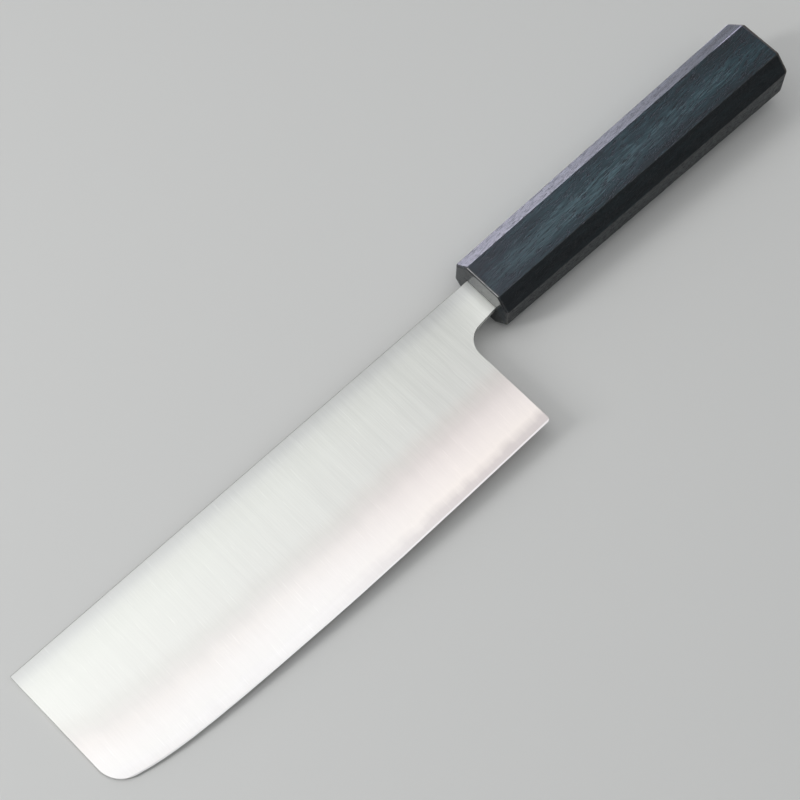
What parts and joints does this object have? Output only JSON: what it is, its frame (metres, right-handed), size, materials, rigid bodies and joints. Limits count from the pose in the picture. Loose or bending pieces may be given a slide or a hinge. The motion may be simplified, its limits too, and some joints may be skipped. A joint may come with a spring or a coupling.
{
  "type": "nakiri knife",
  "caption": "Japanese vegetable knife with a deep straight three-layer steel blade on a hidden tang, bedded in an octagonal dyed oak handle.",
  "frame": {"origin": "middle of the knife's box in x and y, at the underside of the handle's butt, with the knife lying on its side", "axes": "+X along the knife from the blade's front to the handle's butt, +Y from the edge to the spine, +Z out of the left face of the blade"},
  "size_m": [0.304, 0.0567, 0.0208],
  "materials": {
    "hard_steel": "fine honed steel",
    "soft_steel": "brushed across the blade",
    "dyed_oak": "indigo-dyed open-grain oak under a thin clear finish",
    "cured_adhesive": "dark cured resin"
  },
  "bodies": {
    "root": {"core_steel": "hard_steel", "left_cladding": "soft_steel", "right_cladding": "soft_steel", "octagonal_handle": "dyed_oak", "tang_adhesive": "cured_adhesive"}
  },
  "joints": []
}
